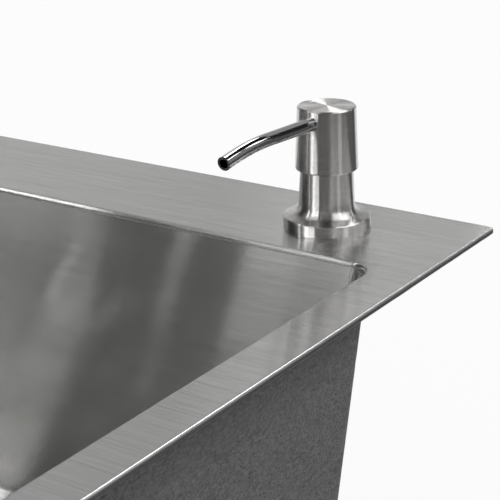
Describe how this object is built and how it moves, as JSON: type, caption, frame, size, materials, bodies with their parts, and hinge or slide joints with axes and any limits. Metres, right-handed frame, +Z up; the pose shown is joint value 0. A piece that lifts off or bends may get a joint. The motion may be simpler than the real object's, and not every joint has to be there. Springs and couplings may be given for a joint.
{
  "type": "kitchen sink",
  "caption": "Drop-in brushed steel kitchen sink: one deep drafted bowl, wide tap deck with a soap pump, basket strainer drain and swinging worktop clips.",
  "frame": {"origin": "middle of the worktop cut-out, in the plane of the plate's underside", "axes": "+X along the sink to the right, +Y to the tap deck at the back, +Z up"},
  "size_m": [0.75, 0.45, 0.3574],
  "materials": {
    "brushed_steel": "linear brushed stainless steel",
    "bowl_steel": "linear brushed stainless steel",
    "sound_coat": "sprayed rough undercoat",
    "pad_rubber": "matte butyl sheet",
    "foam": "closed-cell foam tape",
    "zinc": "bright zinc-plated steel",
    "rubber": "moulded rubber",
    "polished_steel": "polished stainless steel",
    "fibre": "pressed fibre",
    "turned_steel": "turned satin steel",
    "black_plastic": "moulded plastic",
    "white_plastic": "moulded polypropylene",
    "spring_steel": "bright spring wire",
    "chrome": "mirror polished"
  },
  "bodies": {
    "sink": {"deck_plate": "brushed_steel", "bowl": "bowl_steel", "sound_coat": "sound_coat", "floor_pads": "pad_rubber", "seal_strips": "foam", "clip_studs": "zinc", "clip_wing_nuts": "zinc", "strainer_gasket": "rubber", "strainer_cup": "polished_steel", "strainer_washer": "rubber", "strainer_slip_ring": "fibre", "strainer_locknut": "zinc", "dispenser_collar": "turned_steel", "collar_seal": "rubber", "dispenser_shank": "black_plastic", "shank_washer": "rubber", "shank_nut": "black_plastic", "pump_housing": "white_plastic", "pump_guide": "white_plastic", "return_spring": "spring_steel", "dip_tube": "white_plastic"},
    "plunger": {"pump_stem": "white_plastic", "pump_piston": "white_plastic", "piston_seal": "rubber"},
    "pump_head": {"pump_cap": "turned_steel", "head_core": "black_plastic", "spout_tube": "chrome"},
    "inlet_ball": {"inlet_ball": "spring_steel"},
    "basket": {"basket_cup": "polished_steel", "basket_post": "polished_steel", "basket_stopper": "rubber", "basket_stopper_nut": "zinc"},
    "claw_front_left": {"clip_claw_front_left": "zinc"},
    "claw_front_middle": {"clip_claw_front_middle": "zinc"},
    "claw_front_right": {"clip_claw_front_right": "zinc"},
    "claw_rear_left": {"clip_claw_rear_left": "zinc"},
    "claw_rear_right": {"clip_claw_rear_right": "zinc"}
  },
  "joints": [
    {"name": "pump_press", "type": "slide", "parent": "sink", "child": "plunger", "axis": [0, 0, -1], "range_m": [0, 0.012], "stiffness_N_per_m": 300, "springref_m": -0.012, "deforming": ["return_spring"]},
    {"name": "head_swivel", "type": "hinge", "parent": "plunger", "child": "pump_head", "pos_m": [0.294, 0.183, 0.056], "axis": [0, 0, 1], "continuous": true},
    {"name": "inlet_ball_lift", "type": "slide", "parent": "sink", "child": "inlet_ball", "axis": [0, 0, 1], "range_m": [0, 0.0015]},
    {"name": "basket_lift", "type": "slide", "parent": "sink", "child": "basket", "axis": [0, 0, 1], "range_m": [0, 0.06]},
    {"name": "claw_front_left_swing", "type": "hinge", "parent": "sink", "child": "claw_front_left", "pos_m": [-0.24, -0.2095, -0.033], "axis": [0, 0, -1], "range_deg": [0, 90]},
    {"name": "claw_front_middle_swing", "type": "hinge", "parent": "sink", "child": "claw_front_middle", "pos_m": [0, -0.2095, -0.033], "axis": [0, 0, -1], "range_deg": [0, 90]},
    {"name": "claw_front_right_swing", "type": "hinge", "parent": "sink", "child": "claw_front_right", "pos_m": [0.24, -0.2095, -0.033], "axis": [0, 0, 1], "range_deg": [0, 90]},
    {"name": "claw_rear_left_swing", "type": "hinge", "parent": "sink", "child": "claw_rear_left", "pos_m": [-0.22, 0.2095, -0.033], "axis": [0, 0, 1], "range_deg": [0, 90]},
    {"name": "claw_rear_right_swing", "type": "hinge", "parent": "sink", "child": "claw_rear_right", "pos_m": [0.22, 0.2095, -0.033], "axis": [0, 0, -1], "range_deg": [0, 90]}
  ]
}
